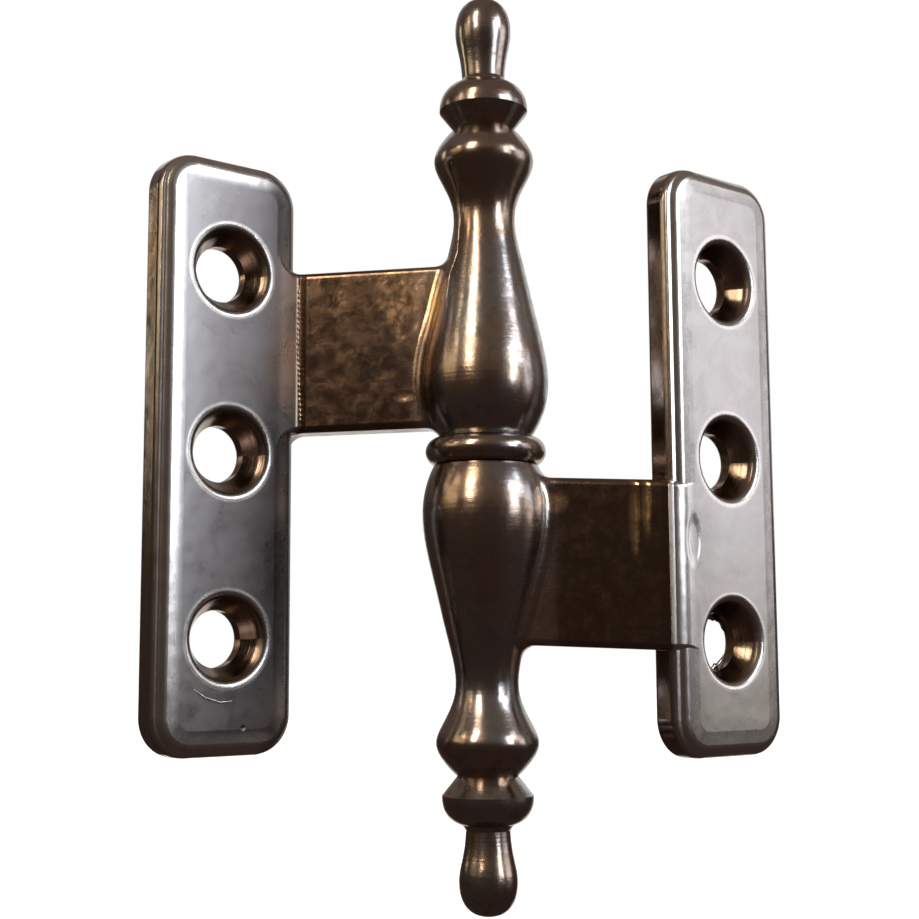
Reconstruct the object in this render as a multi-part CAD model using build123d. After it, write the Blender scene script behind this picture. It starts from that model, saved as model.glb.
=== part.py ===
from build123d import *
import math
import os

# Decorative lift-off hinge, in millimetres, standing up along Z.
# It is drawn about the pin axis with the middle of the bearing ring at height zero,
# and then moved so that the origin is the middle screw hole of the frame leaf, at its back face.

# Leaves
PLATE_HEIGHT = 60.6
PLATE_WIDTH = 15.9
PLATE_THICK = 3.7
PLATE_CORNER = 4.0
INNER_CORNER = 1.3
SHOULDER_DROP = 0.2
FRONT_ROUND = 1.5
BACK_ROUND = 0.5
HOLE_SPACING = 18.7
HOLE_R = 2.9
SINK_R = 4.35
SINK_HALF_ANGLE = 30.0
SINK_LIP = 0.8
SINK_RIM = 0.9

# The front falls away over what its own corners, or the countersinks and the rim round them, leave
SHOULDER = min(PLATE_CORNER - INNER_CORNER, PLATE_WIDTH / 2 - SINK_R - SINK_RIM)

# Webs: both lie in one plane through the pin, turned from the plates by the bend angle
BEND = 48.0
WEB_THICK = 3.7
WEB_LOW = 2.6
WEB_HIGH = 19.6
WEB_FLARE = 1.4
WEB_EDGE = 0.7
WEB_ROOT = 3.0
OUTER_BEND_R = 3.5
INNER_BEND_R = 0.8
COVE_R = 1.6

WEB_REACH = 19.5

# The two leaves: the side of the pin on which each plate lies, and how far its middle is below the joint
DOOR = -1
FRAME = 1
DROP = {DOOR: 0.3, FRAME: 0.8}

# Barrel: heights are above the middle of the ring, and the lower half is a little shorter
RING_THICK = 3.0
RING_R = 6.2
LOWER_SHARE = 0.955
DOOR_FOOT_R = 4.7
FRAME_FOOT_R = 5.4
BELLY = (7.2, 6.52)
TAPER = (14.0, 5.36)
SHANK = (20.2, 3.95)
NECK = (25.8, 3.31)
BULB_LOW = (28.8, 4.5)
BULB = (30.95, 5.22)
BULB_HIGH = (32.85, 4.4)
GROOVE = (34.3, 3.1)
BEAD_EDGE = (36.3, 4.65)
BEAD_TOP = (38.5, 3.97)
BEAD_CROWN = (39.35, 2.6)
STEM = (39.9, 2.24)
DROP_SIDE = (45.3, 2.95)
TIP = 48.7

# Pin and spigots
PIN_R = 2.5
PIN_FIT = 0.05
PIN_TOP = 17.5
PIN_BOTTOM = 15.5
PIN_LEAD = 0.6
BORE_SPARE = 0.6
SPIGOT_R = 1.75
SPIGOT_LENGTH = 5.5


def plan_point(along, across):
    """A point of the plan view, measured along the line of the webs and across it, away from the front."""
    bend = math.radians(BEND)
    x = along * math.cos(bend) + across * math.sin(bend)
    y = -along * math.sin(bend) + across * math.cos(bend)
    return (x, y)


def plate_corner(side):
    """Where the front of the web meets the front of the plate, in the plan view."""
    return plan_point(side * WEB_REACH, -WEB_THICK / 2)


def plate_middle(side):
    return plate_corner(side)[0] + side * PLATE_WIDTH / 2


def plate_outline(side, depth, inset):
    """The rounded outline of a plate, drawn in from its edges, at a depth behind its front face."""
    origin = (plate_middle(side), plate_corner(side)[1] + depth, -DROP[side])
    front = Plane(origin=origin, x_dir=(1, 0, 0), z_dir=(0, -1, 0))
    return front * RectangleRounded(PLATE_WIDTH - 2 * inset, PLATE_HEIGHT - 2 * inset, PLATE_CORNER - inset)


def plate(side):
    """A bar whose front face falls away a little to soft edges, as hand polishing leaves it."""
    rim = plate_outline(side, SHOULDER_DROP, 0)
    bar = extrude(rim, amount=SHOULDER_DROP - PLATE_THICK)
    bar += loft([rim, plate_outline(side, 0, SHOULDER)])
    edge = bar.edges().filter_by(lambda e: abs((e @ 0.5).Y - (e @ 0).Y) < 0.001)
    edge = edge.filter_by(lambda e: abs((e @ 0).Y - plate_corner(side)[1] - SHOULDER_DROP) < 0.001)
    bar = fillet(edge, min(FRONT_ROUND, SHOULDER - SHOULDER_DROP))
    return fillet(bar.faces().sort_by(Axis.Y)[-1].edges(), BACK_ROUND)


def screw_hole(side, height):
    """A countersunk hole with a short straight land at the back."""
    y = plate_corner(side)[1]
    cone_depth = (SINK_R - HOLE_R) / math.tan(math.radians(SINK_HALF_ANGLE))
    outline = Polyline(
        (0, -PLATE_THICK),
        (SINK_R, -PLATE_THICK),
        (SINK_R, 0),
        (HOLE_R, cone_depth),
        (HOLE_R, 2 * PLATE_THICK),
        (0, 2 * PLATE_THICK),
        close=True,
    )
    cutter = revolve(make_face(Plane.XY * outline), Axis.Y)
    return Pos(plate_middle(side), y, height - DROP[side]) * cutter


def is_long_and_level(edge):
    return edge.length > WEB_REACH / 2 and abs((edge % 0.5).Z) < 0.1


def web_plan(side):
    """The bent web seen from above, from the pin axis to inside the plate, with both bends rounded."""
    x, y = plate_corner(side)
    back = y + PLATE_THICK
    foot_front = plan_point(0, -WEB_THICK / 2)
    foot_back = plan_point(0, WEB_THICK / 2)
    run = (foot_back[1] - back) / math.tan(math.radians(BEND))
    elbow = (foot_back[0] + run, back)
    inside = x + side * WEB_ROOT
    front_r, back_r = (INNER_BEND_R, OUTER_BEND_R) if side == DOOR else (OUTER_BEND_R, INNER_BEND_R)
    outline = Polyline((inside, y), (x, y), foot_front, foot_back, elbow, (inside, back), close=True)
    plan = make_face(outline)
    plan = fillet(plan.vertices().sort_by_distance((x, y, 0))[0], front_r)
    return fillet(plan.vertices().sort_by_distance((elbow[0], elbow[1], 0))[0], back_r)


def web_elevation(side, low, high):
    """The web seen square on, slanted down to the plate and flared where they meet."""
    bend = math.radians(BEND)
    line_dir = (math.cos(bend), -math.sin(bend), 0)
    front_dir = (-math.sin(bend), -math.cos(bend), 0)
    start = side * WEB_REACH
    far = start + side * (WEB_ROOT + PLATE_THICK + WEB_THICK)
    top = high - DROP[side]
    base = low - DROP[side]
    arc_top = JernArc(start=(start, top), tangent=(side, 0), radius=WEB_FLARE, arc_size=side * 90)
    arc_low = JernArc(start=(start, base), tangent=(side, 0), radius=WEB_FLARE, arc_size=-side * 90)
    root = Polyline(arc_top @ 1, (far, top + WEB_FLARE), (far, base - WEB_FLARE), arc_low @ 1)
    arm = Polyline((start, top), (0, high), (0, low), (start, base))
    outline = arc_top + arc_low + root + arm
    return make_face(Plane(origin=(0, 0, 0), x_dir=line_dir, z_dir=front_dir) * outline)


def web(side, low, high):
    """The web as its plan and its elevation have in common, with its long edges softened."""
    margin = WEB_FLARE + DROP[side]
    slab = Pos(0, 0, low - margin) * extrude(web_plan(side), amount=high - low + 2 * margin)
    body = slab & extrude(web_elevation(side, low, high), amount=WEB_REACH, both=True)
    return fillet(body.edges().filter_by(is_long_and_level), WEB_EDGE)


def knuckle_profile(foot_r, share):
    """Half outline of a vase-turned knuckle, as points of height and radius above the joint."""
    foot = (RING_THICK / 2, foot_r)
    rows = [BELLY, TAPER, SHANK, NECK, BULB_LOW, BULB, BULB_HIGH, GROOVE]
    return [foot] + [(height * share, radius) for height, radius in rows]


def turned(points_of_side, bottom, top):
    """A solid turned about Z from an open half outline that runs from the bottom to the top."""
    closing = Polyline(points_of_side @ 1, (0, top), (0, bottom), points_of_side @ 0)
    face = make_face(Plane.XZ * (points_of_side + closing))
    return revolve(face, Axis.Z)


def knuckle(foot_r, share):
    rows = knuckle_profile(foot_r, share)
    side = Spline([(radius, height) for height, radius in rows])
    return turned(side, rows[0][0], rows[-1][0])


def finial(share):
    """Bead, stem and drop of one turned piece, with the spigot that holds it in the knuckle."""
    groove = GROOVE[0] * share
    under = Line((GROOVE[1], groove), (BEAD_EDGE[1], BEAD_EDGE[0] * share))
    stem = (STEM[1], STEM[0] * share)
    crown = (BEAD_CROWN[1], BEAD_CROWN[0] * share)
    bead = Spline([under @ 1, (BEAD_TOP[1], BEAD_TOP[0] * share), crown])
    drop = Spline(
        [stem, (DROP_SIDE[1], DROP_SIDE[0] * share), (0, TIP * share)],
        tangents=[(0.05, 1), (-1, 0)],
    )
    neck = Line(bead @ 1, drop @ 0)
    side = under + bead + neck + drop
    closing = Polyline((0, TIP * share), (0, groove - SPIGOT_LENGTH), (SPIGOT_R, groove - SPIGOT_LENGTH))
    spigot = Polyline((SPIGOT_R, groove - SPIGOT_LENGTH), (SPIGOT_R, groove), (GROOVE[1], groove))
    return revolve(make_face(Plane.XZ * (side + closing + spigot)), Axis.Z)


def spigot_hole(share):
    depth = SPIGOT_LENGTH + BORE_SPARE
    return Pos(0, 0, GROOVE[0] * share - depth) * Cylinder(
        SPIGOT_R, depth + 1, align=(Align.CENTER, Align.CENTER, Align.MIN)
    )


def upright(radius, low, high):
    return Pos(0, 0, low) * Cylinder(radius, high - low, align=(Align.CENTER, Align.CENTER, Align.MIN))


def is_cove(edge):
    """Whether an edge is a long line where a flat side of the web meets the turned knuckle."""
    bend = math.radians(BEND)
    depths = [(edge @ t).X * math.sin(bend) + (edge @ t).Y * math.cos(bend) for t in (0.1, 0.5, 0.9)]
    on_side = all(abs(abs(depth) - WEB_THICK / 2) < 0.01 for depth in depths)
    return on_side and edge.geom_type == GeomType.BSPLINE and edge.length > WEB_THICK


def leaf_body(side, barrel, low, high):
    arm = web(side, low, high) + barrel
    arm = fillet(arm.edges().filter_by(is_cove), COVE_R)
    body = plate(side) + arm
    for step in (-1, 0, 1):
        body -= screw_hole(side, step * HOLE_SPACING)
    lips = body.edges().filter_by(GeomType.CIRCLE).filter_by(lambda e: abs(e.radius - SINK_R) < 0.001)
    return fillet(lips, SINK_LIP)


def door_leaf():
    barrel = knuckle(DOOR_FOOT_R, 1.0)
    body = leaf_body(DOOR, barrel, WEB_LOW, WEB_HIGH)
    body -= spigot_hole(1.0)
    return body - upright(PIN_R + PIN_FIT, 0, PIN_TOP + BORE_SPARE)


def frame_leaf():
    barrel = mirror(knuckle(FRAME_FOOT_R, LOWER_SHARE), about=Plane.XY)
    body = leaf_body(FRAME, barrel, -WEB_HIGH, -WEB_LOW)
    body -= mirror(spigot_hole(LOWER_SHARE), about=Plane.XY)
    return body - upright(PIN_R, -PIN_BOTTOM, 0)


def hinge_pin():
    pin = upright(PIN_R, -PIN_BOTTOM, PIN_TOP)
    return chamfer(pin.faces().sort_by(Axis.Z)[-1].edges(), PIN_LEAD)


def bearing_ring():
    """A half-round collar between the two knuckles."""
    half = RING_THICK / 2
    rim = CenterArc((RING_R - half, 0), half, -90, 180)
    inner = PIN_R + PIN_FIT
    rest = Polyline(rim @ 1, (inner, half), (inner, -half), rim @ 0)
    return revolve(make_face(Plane.XZ * (rim + rest)), Axis.Z)


def to_own_frame(shape):
    """Moves the origin from the pin axis to the middle screw hole of the frame leaf, at its back face."""
    back = plate_corner(FRAME)[1] + PLATE_THICK
    return Pos(-plate_middle(FRAME), -back, DROP[FRAME]) * shape


os.makedirs("parts", exist_ok=True)
export_step(to_own_frame(frame_leaf()), "parts/frame_leaf.step")
export_step(to_own_frame(door_leaf()), "parts/door_leaf.step")
export_step(to_own_frame(hinge_pin()), "parts/hinge_pin.step")
export_step(to_own_frame(bearing_ring()), "parts/bearing_ring.step")
export_step(to_own_frame(finial(1.0)), "parts/upper_finial.step")
export_step(to_own_frame(mirror(finial(LOWER_SHARE), about=Plane.XY)), "parts/lower_finial.step")
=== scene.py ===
import math
import random
from collections import namedtuple

import bmesh
import bpy
from mathutils import Matrix, Vector
from mathutils.bvhtree import BVHTree


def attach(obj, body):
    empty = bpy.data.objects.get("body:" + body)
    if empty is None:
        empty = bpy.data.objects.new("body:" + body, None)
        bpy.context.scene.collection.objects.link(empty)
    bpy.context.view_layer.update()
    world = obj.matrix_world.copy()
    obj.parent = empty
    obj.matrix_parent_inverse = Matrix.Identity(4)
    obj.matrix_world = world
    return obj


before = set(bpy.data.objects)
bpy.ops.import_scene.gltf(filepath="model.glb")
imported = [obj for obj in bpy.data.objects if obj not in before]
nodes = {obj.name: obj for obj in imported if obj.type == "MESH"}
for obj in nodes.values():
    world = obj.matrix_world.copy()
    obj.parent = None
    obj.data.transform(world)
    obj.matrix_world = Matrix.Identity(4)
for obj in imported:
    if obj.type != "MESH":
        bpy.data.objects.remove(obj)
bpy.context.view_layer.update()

# sizes, in millimetres
PER_METRE = 1000.0
PIN = (-19.6232, 12.0292)          # pin axis, x and y
PITCH = 18.7                       # from one screw hole to the next
HOLE_R = 2.9
LIP_R = 4.8                        # countersink where it meets the face, with its rounded lip
PLATE_THICK = 3.7
PLATE_HALF_WIDTH, PLATE_HALF_HEIGHT = 7.95, 30.3
# each plate: x of its middle, y of its front face, z of its middle hole
PLATES = {"frame_leaf": (0.0, -3.7, 0.0), "door_leaf": (-41.996, 25.283, 0.5)}
BODY = {"frame_leaf": "frame", "door_leaf": "door"}
# where the rubbed rims of a plate start and are full, in from its sides, its ends and the lips of its holes
RUB_SIDES, RUB_ENDS, RUB_LIPS = (2.65, 1.65), (2.7, 1.5), (0.5, 0.15)
# where the finishes of knuckle, web and turning start and are full, as a distance from the pin axis
KNUCKLE_FADE, WEB_FADE, LATHE_FADE = (8.2, 7.0), (6.2, 8.5), (7.4, 6.6)
# how much darker than the frame leaf's plate the door leaf's is: painted shade toward its lower right,
# where its face mirrors the dark knuckle
PAINTED_SHADE = {"frame_leaf": 0.0, "door_leaf": 0.93}

# the photograph's view, in metres and pixels
EYE = Vector((-0.120947, -0.107781, -0.019472))
RIGHT = Vector((0.77491576, -0.63204837, -0.0045188))
UP = Vector((-0.0746978, -0.09867689, 0.992312))
AHEAD = Vector((0.62763509, 0.76862067, 0.1236789))
FOCAL_PX, SIZE_PX = 1534.08, 919.0
CENTRE_PX = (459.52, 459.53)
PX_PER_MM = 9.6
SENSOR_MM = 36.0

# tones
RUBBED = (0.66, 0.63, 0.61)        # bare metal, where hands and screws rub it
BRONZE = (0.42, 0.36, 0.315)
RED_BRONZE = (0.44, 0.34, 0.28)
BLUE_BRONZE = (0.41, 0.395, 0.40)
PATINA = (0.21, 0.14, 0.10)        # thick and brown
WORN_LOW, WORN_HIGH, WORN_PALE = (0.44, 0.415, 0.41), (0.56, 0.54, 0.535), (0.60, 0.575, 0.56)
WORN_WARM = (0.50, 0.45, 0.36)
# painted shade tones, for the door plate's face where it mirrors the dark knuckle
GREY_PAINTED_SHADE, DEEP_PAINTED_SHADE = (0.15, 0.138, 0.142), (0.06, 0.055, 0.058)
SPECKS = (0.33, 0.28, 0.25)
BACK_TONE = (0.47, 0.42, 0.38)
SINK_TONE = (0.25, 0.175, 0.13)
# orange patches, and the gold of painted highlights
ORANGE, PAINTED_HIGHLIGHT_GOLD = (0.95, 0.66, 0.43), (0.88, 0.62, 0.36)
CAST_GOLD = (0.62, 0.46, 0.30)
STEEL, STEEL_STAIN = (0.50, 0.49, 0.48), (0.36, 0.33, 0.30)
WHITE = (1.0, 1.0, 1.0)


def add_camera():
    data = bpy.data.cameras.new("photo_view")
    data.sensor_width = SENSOR_MM
    data.sensor_fit = "HORIZONTAL"
    data.lens = SENSOR_MM * FOCAL_PX / SIZE_PX
    data.clip_start = 0.005
    data.clip_end = 50.0
    cam = bpy.data.objects.new("photo_view", data)
    bpy.context.scene.collection.objects.link(cam)
    turn = Matrix((RIGHT, UP, -AHEAD)).transposed().to_4x4()
    cam.matrix_world = Matrix.Translation(EYE) @ turn
    bpy.context.scene.camera = cam


# node helpers
class Net:
    """Short calls for building one node tree. Lengths inside are millimetres."""

    def __init__(self, tree):
        self.tree = tree
        tree.nodes.clear()
        self.point = None

    def add(self, kind, **values):
        node = self.tree.nodes.new(kind)
        for name, value in values.items():
            setattr(node, name, value)
        return node

    def put(self, socket, value):
        if isinstance(value, bpy.types.NodeSocket):
            self.tree.links.new(value, socket)
        elif isinstance(value, (tuple, list)) and len(value) == 3 and socket.type == "RGBA":
            socket.default_value = (*value, 1.0)
        else:
            socket.default_value = value

    def math(self, kind, a, b=0.0):
        node = self.add("ShaderNodeMath", operation=kind)
        self.put(node.inputs[0], a)
        self.put(node.inputs[1], b)
        return node.outputs[0]

    def times(self, a, b):
        return self.math("MULTIPLY", a, b)

    def plus(self, a, b):
        return self.math("ADD", a, b)

    def minus(self, a, b):
        return self.math("SUBTRACT", a, b)

    def size(self, a):
        return self.math("ABSOLUTE", a)

    def fade(self, share, a, b):
        """From number a to number b as the share goes from 0 to 1."""
        return self.plus(self.times(a, self.minus(1.0, share)), self.times(b, share))

    def vector(self, kind, a, b=(0, 0, 0), scale=None):
        node = self.add("ShaderNodeVectorMath", operation=kind)
        self.put(node.inputs[0], a)
        self.put(node.inputs[1], b)
        if scale is not None:
            self.put(node.inputs["Scale"], scale)
        return node.outputs["Value"] if kind in ("LENGTH", "DOT_PRODUCT") else node.outputs[0]

    def split(self, a):
        node = self.add("ShaderNodeSeparateXYZ")
        self.put(node.inputs[0], a)
        return node.outputs

    def join(self, x, y, z):
        node = self.add("ShaderNodeCombineXYZ")
        for socket, value in zip(node.inputs, (x, y, z)):
            self.put(socket, value)
        return node.outputs[0]

    def step(self, value, low, high, out_low=0.0, out_high=1.0):
        """A smooth change from out_low to out_high as the value goes from low to high."""
        node = self.add("ShaderNodeMapRange", interpolation_type="SMOOTHSTEP")
        for name, v in (("Value", value), ("From Min", low), ("From Max", high),
                        ("To Min", out_low), ("To Max", out_high)):
            self.put(node.inputs[name], v)
        return node.outputs[0]

    def noise(self, scale, detail=4.0, rough=0.55, where=None, warp=0.0):
        node = self.add("ShaderNodeTexNoise")
        self.put(node.inputs["Vector"], self.point if where is None else where)
        for name, v in (("Scale", scale), ("Detail", detail), ("Roughness", rough), ("Distortion", warp)):
            self.put(node.inputs[name], v)
        return node.outputs["Fac"]

    def lines(self, scale, detail, rough, height):
        """Noise that changes in one direction only, as turning and drawing leave it."""
        return self.noise(scale, detail, rough, where=self.join(0.0, 0.0, height))

    def mix(self, share, a, b):
        """From colour a to colour b as the share goes from 0 to 1."""
        node = self.add("ShaderNodeMix", data_type="RGBA")
        first, second = [socket for socket in node.inputs if socket.type == "RGBA"]
        self.put(node.inputs["Factor"], share)
        self.put(first, a)
        self.put(second, b)
        return next(socket for socket in node.outputs if socket.type == "RGBA")

    def bump(self, height, distance_mm, normal=None):
        node = self.add("ShaderNodeBump")
        self.put(node.inputs["Strength"], 1.0)
        self.put(node.inputs["Distance"], distance_mm / PER_METRE)
        self.put(node.inputs["Height"], height)
        if normal is not None:
            self.put(node.inputs["Normal"], normal)
        return node.outputs[0]

    def surface(self, kind, shader):
        out = self.add(kind)
        self.put(out.inputs["Surface"], shader.outputs[0])


def material(name):
    made = bpy.data.materials.new(name)
    made.use_nodes = True
    net = Net(made.node_tree)
    coords = net.add("ShaderNodeTexCoord")
    net.point = net.vector("SCALE", coords.outputs["Object"], scale=PER_METRE)
    return made, net


def metal(net, colour, rough, normal):
    shader = net.add("ShaderNodeBsdfPrincipled")
    net.put(shader.inputs["Metallic"], 1.0)
    net.put(shader.inputs["Base Color"], colour)
    net.put(shader.inputs["Roughness"], rough)
    net.put(shader.inputs["Normal"], normal)
    net.surface("ShaderNodeOutputMaterial", shader)


# finishes
def patina(net):
    """Colour, roughness and two noises that all the cast and turned metal shares."""
    broad = net.noise(0.16, 3.0, 0.5)
    blotch = net.noise(0.8, 5.0, 0.6, warp=0.4)
    fine = net.noise(6.0, 5.0, 0.7)
    tone = net.mix(net.step(broad, 0.40, 0.60), RED_BRONZE, BLUE_BRONZE)
    tone = net.mix(net.times(net.step(blotch, 0.44, 0.66), 0.48), tone, PATINA)
    tone = net.mix(net.times(net.step(fine, 0.52, 0.74), 0.18), tone, RUBBED)
    rough = net.step(blotch, 0.35, 0.70, 0.17, 0.26)
    rough = net.plus(rough, net.step(fine, 0.45, 0.70, 0.0, 0.04))
    return tone, rough, blotch, fine


def turned_finish(name):
    """The finials and ring: glossy, with faint lathe lines round the pin axis."""
    made, net = material(name)
    tone, rough, _, fine = patina(net)
    height = net.split(net.point)[2]
    normal = net.bump(net.noise(0.35, 2.0, 0.5), 0.05)
    normal = net.bump(net.lines(3.2, 3.0, 0.6, height), 0.014, normal)
    normal = net.bump(fine, 0.003, normal)
    metal(net, tone, rough, normal)
    return made


class LeafMap:
    """The regions of a leaf: each is a share, from 0 outside it to 1 inside it."""

    def __init__(self, net, node):
        middle_x, front_y, middle_z = PLATES[node]
        x, y, z = net.split(net.point)
        self.height = z
        self.px = net.minus(x, middle_x)
        self.pz = net.minus(z, middle_z)
        self.depth = net.minus(y, front_y)
        self.away = net.vector("LENGTH", net.join(net.minus(x, PIN[0]), net.minus(y, PIN[1]), 0.0))
        self.plate = net.times(
            net.step(net.size(self.px), PLATE_HALF_WIDTH + 0.65, PLATE_HALF_WIDTH + 0.05),
            net.step(self.depth, PLATE_THICK + 0.5, PLATE_THICK + 0.2),
        )
        self.face = net.times(self.plate, net.step(self.depth, 0.9, 0.45))
        self.back = net.times(self.plate, net.step(self.depth, PLATE_THICK - 0.3, PLATE_THICK - 0.08))
        self.web = net.times(net.step(self.away, *WEB_FADE), net.minus(1.0, self.plate))
        row = net.math("ROUND", net.math("DIVIDE", self.pz, PITCH))
        self.hole = net.vector("LENGTH", net.join(self.px, net.minus(self.pz, net.times(row, PITCH)), 0.0))
        sink = net.times(net.step(self.hole, LIP_R - 0.15, LIP_R - 0.45), net.step(self.depth, 0.15, 0.45))
        before_back = net.step(self.depth, PLATE_THICK - 0.04, PLATE_THICK - 0.14)
        self.sink = net.times(net.times(sink, before_back), self.plate)

    def rubbed(self, net, painted_shade):
        """The edges of the plate's face and the lips of its countersinks."""
        sides = net.step(net.size(self.px), *(PLATE_HALF_WIDTH - inward for inward in RUB_SIDES))
        ends = net.step(net.size(self.pz), *(PLATE_HALF_HEIGHT - inward for inward in RUB_ENDS))
        lips = net.step(net.size(net.minus(self.hole, LIP_R - 0.1)), *RUB_LIPS)
        rub = net.math("MAXIMUM", net.math("MAXIMUM", sides, ends), lips)
        rub = net.times(net.times(rub, self.plate), net.step(self.depth, 1.5, 0.6))
        # less rubbed brightness toward the door plate's right, as part of its painted shade
        rub = net.times(rub, net.step(self.px, 3.0, 5.5, 1.0, 1.0 - 0.75 * painted_shade))
        return net.times(rub, net.step(net.noise(0.7, 4.0, 0.6), 0.25, 0.55, 0.6, 1.0))


def worn_face(net, leaf, painted_shade):
    """Colour and roughness of a plate's face: light and mottled, or darkened with painted shade toward its
    lower right, where it mirrors the dark knuckle.
    """
    cloud = net.noise(0.28, 4.0, 0.6, warp=0.8)
    mottle = net.noise(2.2, 6.0, 0.68, warp=0.5)
    specks = net.step(net.noise(5.5, 5.0, 0.65), 0.60, 0.74)
    lower_right = net.plus(net.times(leaf.px, 0.8), net.times(leaf.pz, -0.06))
    tone = net.mix(net.step(cloud, 0.36, 0.66), WORN_LOW, WORN_HIGH)
    tone = net.mix(net.step(mottle, 0.40, 0.66, 0.0, 0.35), tone, WORN_PALE)
    # painted shade toward the lower right of the door plate, standing for the dark knuckle that its face
    # mirrors
    tone = net.mix(net.step(lower_right, -6.5, 3.5, 0.74 * painted_shade, painted_shade), tone, GREY_PAINTED_SHADE)
    tone = net.mix(net.step(lower_right, 0.5, 5.5, 0.0, 0.55 * painted_shade), tone, DEEP_PAINTED_SHADE)
    tone = net.mix(net.step(leaf.pz, -6.0, -28.0, 0.0, 0.5 * (1.0 - painted_shade)), tone, WORN_WARM)
    tone = net.mix(net.times(specks, 0.13), tone, SPECKS)
    rough = net.plus(net.step(cloud, 0.35, 0.68, 0.27, 0.33), net.step(mottle, 0.40, 0.66, 0.0, 0.05))
    return tone, rough


def near(net, middle, mark):
    """1 close to the middle of a mark, and 0 beyond its soft rim."""
    away = net.vector("SUBTRACT", net.point, tuple(middle))
    away = net.vector("MULTIPLY", away, (1.0, 1.0, 1.0 / mark.tall))
    return net.step(net.vector("LENGTH", away), mark.radius + mark.soft, mark.radius)


def add_mark(net, node, mark, tone, normal):
    share = near(net, spot(node, mark.at), mark)
    if mark.kind == "orange":
        dapple = net.step(net.noise(1.3, 5.0, 0.65), 0.25, 0.70, 0.1, 1.0)
        tone = net.mix(net.times(share, dapple), tone, ORANGE)
    elif mark.kind == "brown":
        tone = net.mix(net.times(share, 0.8), tone, PATINA)
    # painted golden highlight, standing for a warm light that the metal mirrors; its depth gives a slight
    # groove
    elif mark.kind == "painted_highlight":
        tone = net.mix(share, tone, PAINTED_HIGHLIGHT_GOLD)
    if mark.depth:
        normal = net.bump(net.times(share, -1.0), mark.depth, normal)
    return tone, normal


def leaf_finish(name, node, marks):
    """A leaf: satin worn plate, rougher cast web, glossy knuckle, turned countersinks."""
    made, net = material(name)
    painted_shade = PAINTED_SHADE[node]
    leaf = LeafMap(net, node)
    tone, rough, blotch, fine = patina(net)
    knuckle = net.step(leaf.away, *KNUCKLE_FADE)
    rough = net.minus(rough, net.step(knuckle, 1.0, 0.0, 0.0, 0.06))

    worn_tone, worn_rough = worn_face(net, leaf, painted_shade)
    tone = net.mix(leaf.face, tone, worn_tone)
    rough = net.fade(leaf.face, rough, worn_rough)
    rub = leaf.rubbed(net, painted_shade)
    tone = net.mix(rub, tone, RUBBED)
    sides = net.times(leaf.plate, net.step(leaf.depth, 1.0, 1.8, 0.0, 0.5 * (1.0 - painted_shade)))
    tone = net.mix(sides, tone, PATINA)
    tone = net.mix(net.times(leaf.back, 0.6), tone, BACK_TONE)
    rough = net.plus(rough, net.times(leaf.back, net.step(blotch, 0.35, 0.65, 0.20, 0.30)))
    rough = net.fade(rub, rough, 0.23)

    cast = net.noise(0.55, 6.0, 0.62, warp=0.6)
    tone = net.mix(net.times(leaf.web, net.step(cast, 0.36, 0.64, 0.76, 0.97)), tone, PATINA)
    rough = net.plus(rough, net.times(leaf.web, net.step(cast, 0.40, 0.62, 0.0, 0.06)))
    tone = net.mix(net.times(leaf.sink, 0.80), tone, SINK_TONE)
    rough = net.plus(rough, net.times(leaf.sink, 0.03))

    # hand polishing has left the face a little crowned, and turning has left rings and lines
    crown = net.times(net.times(net.times(leaf.px, leaf.px), -0.0050), leaf.face)
    turning = net.noise(5.0, 3.0, 0.7, where=net.join(leaf.hole, 0.0, 0.0))
    lathe = net.lines(3.2, 3.0, 0.6, leaf.height)
    normal = net.bump(net.noise(0.22, 2.0, 0.5), 0.07)
    normal = net.bump(crown, 1.0, normal)
    normal = net.bump(net.times(leaf.web, cast), 0.024, normal)
    normal = net.bump(net.times(turning, leaf.sink), 0.03, normal)
    normal = net.bump(net.times(lathe, net.step(leaf.away, *LATHE_FADE)), 0.014, normal)
    normal = net.bump(fine, 0.003, normal)
    for mark in marks:
        tone, normal = add_mark(net, node, mark, tone, normal)
    metal(net, tone, rough, normal)
    return made


def steel_finish(name):
    """The plain pin: drawn steel with lines round it."""
    made, net = material(name)
    lines = net.lines(5.0, 4.0, 0.6, net.split(net.point)[2])
    tone = net.mix(net.step(net.noise(1.5, 4.0, 0.6), 0.45, 0.65), STEEL, STEEL_STAIN)
    metal(net, tone, net.step(lines, 0.3, 0.7, 0.20, 0.34), net.bump(lines, 0.004))
    return made


def line_finish(name, tone_a, tone_b, rough):
    """The raised cast lines, scratches and burrs."""
    made, net = material(name)
    spots = net.noise(3.0, 4.0, 0.6)
    tone = net.mix(net.step(spots, 0.40, 0.62), tone_a, tone_b)
    metal(net, tone, net.step(spots, 0.35, 0.65, rough, rough + 0.08), net.bump(spots, 0.01))
    return made


def dress(node, made):
    for slot in nodes[node].material_slots:
        slot.material = made


# stage and light
MIDDLE = Vector((-0.021, 0.012, 0.001))
LAMP_FAR = 1.0
FLOOR_Z, FLOOR_R, FLOOR_GLOW = -0.0475, 6.0, 0.92
FLOOR_PALE, FLOOR_PALER = (0.86, 0.86, 0.86), (0.90, 0.90, 0.895)

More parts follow.
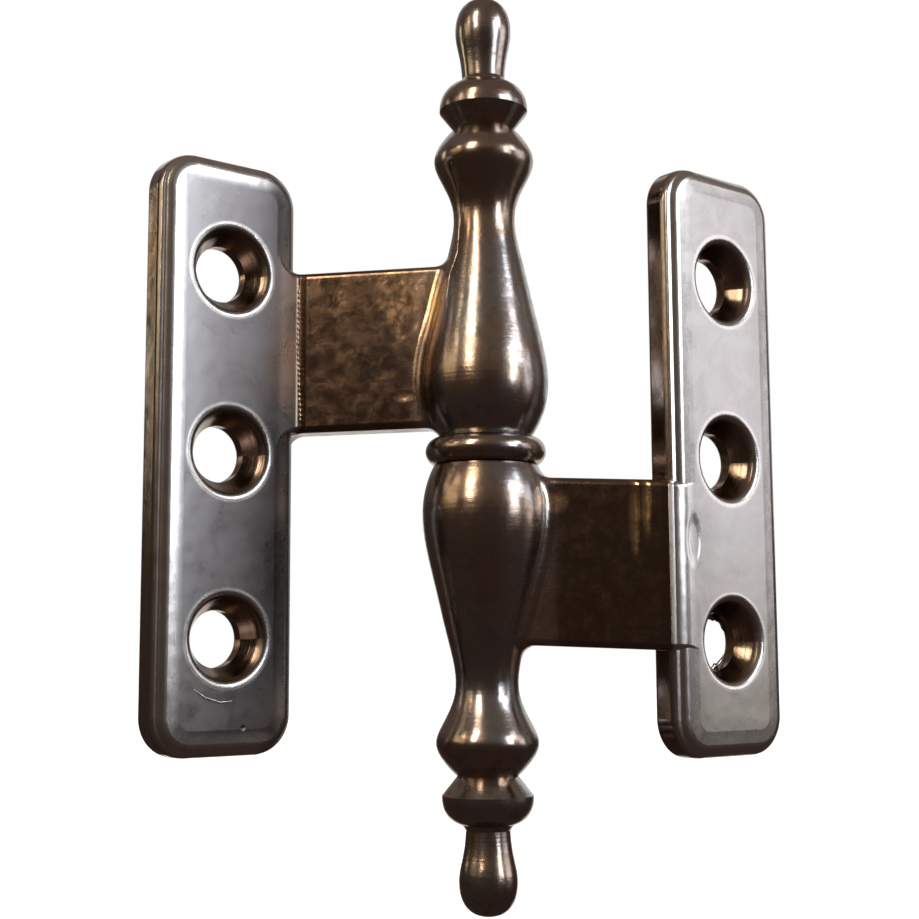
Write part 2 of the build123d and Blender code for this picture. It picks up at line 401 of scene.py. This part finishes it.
Lamp = namedtuple("Lamp", "name azimuth elevation width height radiance colour")
LAMPS = [
    Lamp("window_left", -77, 17, 15, 27, 5.8, (0.88, 0.94, 1.0)),
    Lamp("window_top", -61, 28, 12, 18, 4.8, (0.88, 0.94, 1.0)),
    Lamp("window_mid", -51, 13, 5, 22, 1.4, (0.96, 0.98, 1.0)),
    Lamp("window_right", -37, 11, 23, 24, 1.35, (0.98, 0.97, 1.0)),
    Lamp("warm_window", -161, 33, 10, 30, 11.0, (1.0, 0.82, 0.60)),
    Lamp("warm_small", 168, 30, 5, 10, 5.0, (1.0, 0.74, 0.48)),
    Lamp("warm_wall", 162, 18, 24, 15, 1.0, (1.0, 0.78, 0.48)),
    Lamp("left_strip", 124, 15, 5, 18, 3.2, (1.0, 0.82, 0.56)),
    Lamp("back_left", 72, 36, 24, 26, 0.5, (1.0, 0.95, 0.89)),
    Lamp("back_right", 22, 24, 30, 40, 0.7, (0.95, 0.97, 1.0)),
    Lamp("back_low", 46, -12, 46, 34, 0.8, (1.0, 0.98, 0.95)),
]

# the room that the metal mirrors: its colour low, level and high, and three lighter or browner areas
ROOM_LOW, ROOM_LEVEL, ROOM_HIGH = (0.044, 0.028, 0.023), (0.052, 0.035, 0.027), (0.17, 0.133, 0.110)
Area = namedtuple("Area", "azimuth elevation inner outer colour")
ROOM_AREAS = [
    Area(-40, 8, 5, 24, (0.26, 0.25, 0.255)),
    Area(140, 10, 5, 34, (0.050, 0.034, 0.021)),
    Area(50, 20, 8, 34, (0.24, 0.235, 0.23)),
]


def direction(azimuth, elevation):
    a, e = math.radians(azimuth), math.radians(elevation)
    return Vector((math.cos(e) * math.cos(a), math.cos(e) * math.sin(a), math.sin(e)))


def soft_box(lamp):
    """A lit rectangle that spans the given angles, in degrees, as seen from the hinge."""
    data = bpy.data.lights.new(lamp.name, "AREA")
    data.shape = "RECTANGLE"
    data.size = 2 * LAMP_FAR * math.tan(math.radians(lamp.width / 2))
    data.size_y = 2 * LAMP_FAR * math.tan(math.radians(lamp.height / 2))
    data.energy = lamp.radiance * data.size * data.size_y * math.pi
    data.color = lamp.colour
    box = bpy.data.objects.new(lamp.name, data)
    bpy.context.scene.collection.objects.link(box)
    out = direction(lamp.azimuth, lamp.elevation)
    box.location = MIDDLE + out * LAMP_FAR
    box.rotation_euler = out.to_track_quat("Z", "Y").to_euler()
    box.visible_camera = False


def add_world():
    """A brown room for the metal to mirror, behind a plain white that only the camera sees."""
    world = bpy.data.worlds.new("studio")
    bpy.context.scene.world = world
    world.use_nodes = True
    net = Net(world.node_tree)
    where = net.add("ShaderNodeTexCoord").outputs["Generated"]
    height = net.split(where)[2]
    room = net.mix(net.step(height, -0.55, 0.05), ROOM_LOW, ROOM_LEVEL)
    room = net.mix(net.step(height, 0.02, 0.5), room, ROOM_HIGH)
    for area in ROOM_AREAS:
        dot = net.vector("DOT_PRODUCT", where, tuple(direction(area.azimuth, area.elevation)))
        outer, inner = math.cos(math.radians(area.outer)), math.cos(math.radians(area.inner))
        room = net.mix(net.step(dot, outer, inner), room, area.colour)
    seen = net.add("ShaderNodeBackground")
    net.put(seen.inputs["Color"], WHITE)
    lit = net.add("ShaderNodeBackground")
    net.put(lit.inputs["Color"], room)
    both = net.add("ShaderNodeMixShader")
    net.put(both.inputs[0], net.add("ShaderNodeLightPath").outputs["Is Camera Ray"])
    net.put(both.inputs[1], lit.outputs[0])
    net.put(both.inputs[2], seen.outputs[0])
    net.surface("ShaderNodeOutputWorld", both)


def add_floor():
    """A pale disc that glows almost white, and that the metal doesn't mirror."""
    mesh = bpy.data.meshes.new("floor")
    shape = bmesh.new()
    bmesh.ops.create_circle(shape, cap_ends=True, segments=96, radius=FLOOR_R)
    shape.to_mesh(mesh)
    shape.free()
    floor = bpy.data.objects.new("floor", mesh)
    bpy.context.scene.collection.objects.link(floor)
    floor.location = (MIDDLE.x, MIDDLE.y, FLOOR_Z)
    made, net = material("pale_floor")
    dull = net.add("ShaderNodeBsdfDiffuse")
    net.put(dull.inputs["Color"], net.mix(net.noise(0.02, 3.0, 0.5), FLOOR_PALE, FLOOR_PALER))
    glow = net.add("ShaderNodeEmission")
    net.put(glow.inputs["Color"], WHITE)
    net.put(glow.inputs["Strength"], FLOOR_GLOW)
    both = net.add("ShaderNodeAddShader")
    net.put(both.inputs[0], dull.outputs[0])
    net.put(both.inputs[1], glow.outputs[0])
    net.surface("ShaderNodeOutputMaterial", both)
    mesh.materials.append(made)
    floor.visible_glossy = False
    floor.visible_diffuse = False


add_world()
for lamp in LAMPS:
    soft_box(lamp)
add_floor()
add_camera()


# places on the solids, by sight line
skins = {name: BVHTree.FromObject(nodes[name], bpy.context.evaluated_depsgraph_get()) for name in BODY}


def seat(node, at):
    """The point and outward normal, in metres, where the sight line of a picture point meets a node."""
    across, down = ((at[i] - CENTRE_PX[i]) / FOCAL_PX for i in (0, 1))
    ray = RIGHT * across - UP * down + AHEAD
    place, normal, _, _ = skins[node].ray_cast(EYE, ray.normalized())
    return place, normal


def spot(node, at):
    return seat(node, at)[0] * PER_METRE


# marks in the finish of the leaves, and painted golden highlights
# at is a picture point; radius, soft rim and depth are in millimetres; tall is height over width
Mark = namedtuple("Mark", "kind at radius soft tall depth")
door_marks = [
    Mark("orange", (403, 304), 0.3, 3.6, 1.6, 0.0),      # golden cloud beside the cove
    Mark("brown", (352, 412), 2.0, 4.5, 0.7, 0.0),
    Mark("brown", (322, 325), 2.5, 4.5, 2.5, 0.0),
    Mark("painted_highlight", (434, 312), 0.25, 1.1, 4.0, 0.05),      # painted golden highlight: a bar in the cove, on a slight groove
    Mark("orange", (403, 396), 0.2, 1.3, 0.5, 0.04),
    Mark("dent", (243, 728), 0.05, 0.3, 1.0, 0.05),
]
frame_marks = [
    Mark("dent", (694, 540), 0.55, 0.6, 2.6, 0.11),      # oval dent at the root of the web
    Mark("painted_highlight", (634, 512), 0.1, 0.65, 7.0, 0.13),      # two painted golden highlight streaks, on slight grooves
    Mark("painted_highlight", (646, 505), 0.1, 0.55, 6.0, 0.11),
    Mark("orange", (556, 500), 0.4, 1.2, 1.0, 0.05),
]
dress("frame_leaf", leaf_finish("frame_leaf_bronze", "frame_leaf", frame_marks))
dress("door_leaf", leaf_finish("door_leaf_bronze", "door_leaf", door_marks))


# raised marks, as small pieces
def new_piece(name, points, faces, made, node):
    mesh = bpy.data.meshes.new(name)
    mesh.from_pydata([tuple(v) for v in points], [], faces)
    mesh.update()
    shape = bmesh.new()
    shape.from_mesh(mesh)
    bmesh.ops.recalc_face_normals(shape, faces=shape.faces)
    shape.to_mesh(mesh)
    shape.free()
    mesh.polygons.foreach_set("use_smooth", [True] * len(mesh.polygons))
    mesh.materials.append(made)
    piece = bpy.data.objects.new(name, mesh)
    bpy.context.scene.collection.objects.link(piece)
    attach(piece, BODY[node])


def tube_faces(count, around):
    """The faces of a closed tube whose points come in rings, with both ends shut."""
    faces = []
    for ring in range(1, count):
        for k in range(around):
            a0, a1 = (ring - 1) * around + k, (ring - 1) * around + (k + 1) % around
            faces.append((a0, a1, a1 + around, a0 + around))
    faces.append(tuple(range(around))[::-1])
    faces.append(tuple((count - 1) * around + k for k in range(around)))
    return faces


def sighted(node, picture_points, gap_mm):
    """Evenly spaced places and normals on a node, under a line drawn in the picture."""
    found = []
    for (ax, ay), (bx, by) in zip(picture_points, picture_points[1:]):
        steps = max(1, int(math.hypot(bx - ax, by - ay) / PX_PER_MM / gap_mm))
        for i in range(steps):
            t = i / steps
            place, normal = seat(node, (ax + (bx - ax) * t, ay + (by - ay) * t))
            if place is not None:
                found.append((place, normal))
    return found


# wide and high are the section, gap the distance between rings, bead how lumpy the line is
Ridge = namedtuple("Ridge", "name picture_points wide high gap bead seed")
CORNER_LINE = Ridge("corner_cast_line", [(299, 284), (298, 350), (300, 426)], 0.42, 0.16, 0.16, 0.75, 3)
KNUCKLE_LINE = Ridge(
    "knuckle_cast_line",
    [(451, 161), (458, 187), (460, 208), (457, 252), (449, 276), (446, 298), (448, 312)],
    0.30, 0.07, 0.35, 0.2, 5,
)
TOOL_MARK = Ridge("tool_mark", [(192, 688), (205, 698), (221, 703), (238, 700)], 0.30, 0.035, 0.35, 0.3, 7)
RIDGE_SIDES = 8
RIDGE_SINK = 0.35                  # share of its height by which a ridge lies in the metal
BEAD_TURN = 1.9                    # radians of the lumps' wave from one ring to the next
TAPER_RINGS = 3.0


def ridge(node, shape, made):
    """A raised line of metal that lies on a node, tapered at both ends."""
    rng = random.Random(shape.seed)
    line = sighted(node, shape.picture_points, shape.gap)
    points = []
    last = len(line) - 1
    for i, (place, normal) in enumerate(line):
        ahead = line[min(i + 1, last)][0] - line[max(i - 1, 0)][0]
        side = normal.cross(ahead).normalized()
        lump = 1.0 - shape.bead * (0.5 + 0.5 * math.cos(i * BEAD_TURN)) * rng.uniform(0.6, 1.0)
        end = min(1.0, (min(i, last - i) + 0.15) / TAPER_RINGS)
        for k in range(RIDGE_SIDES):
            a = 2 * math.pi * k / RIDGE_SIDES
            out = normal * (math.sin(a) * shape.high - RIDGE_SINK * shape.high)
            points.append(place + (side * math.cos(a) * shape.wide / 2 + out) * (lump * end / PER_METRE))
    new_piece(shape.name, points, tube_faces(len(line), RIDGE_SIDES), made, node)


BURR_STEPS = 46
BURR_SET = 0.06                    # how far the burr is rooted in the wall of the hole
BURR_ROOT = (0.03, 0.30)           # in from the plate's back face, where it is rooted and at its tip
BURR_TIP = (0.16, 0.08)


def burr(name, row, reach, low, high, seed, made):
    """A ragged lip left by the drill at the back edge of a frame leaf's hole, between two angles."""
    rng = random.Random(seed)
    points = []
    for i in range(BURR_STEPS + 1):
        t = i / BURR_STEPS
        a = math.radians(low + (high - low) * t)
        tooth = reach * rng.uniform(0.35, 1.0) * math.sin(math.pi * t) ** 0.5 + 0.01
        for radius, section in ((HOLE_R + BURR_SET, BURR_ROOT), (HOLE_R - tooth, BURR_TIP)):
            for inward in section:
                x, z = radius * math.cos(a), row * PITCH + radius * math.sin(a)
                points.append(Vector((x, -inward, z)) / PER_METRE)
    new_piece(name, points, tube_faces(BURR_STEPS + 1, 4), made, "frame_leaf")


pale_line = line_finish("rubbed_line", RUBBED, BRONZE, 0.18)
gold_line = line_finish("rough_line", CAST_GOLD, PATINA, 0.22)
ridge("door_leaf", CORNER_LINE, gold_line)
ridge("door_leaf", KNUCKLE_LINE, pale_line)
ridge("door_leaf", TOOL_MARK, pale_line)
burr("middle_burr", 0, 0.30, 95, 265, 11, pale_line)
burr("lower_burr", -1, 0.95, 20, 340, 12, pale_line)
dress("bearing_ring", turned_finish("ring_bronze"))
dress("upper_finial", turned_finish("upper_finial_bronze"))
dress("lower_finial", turned_finish("lower_finial_bronze"))
dress("hinge_pin", steel_finish("pin_steel"))

bpy.context.scene.view_settings.view_transform = "Standard"
bpy.context.scene.view_settings.look = "None"
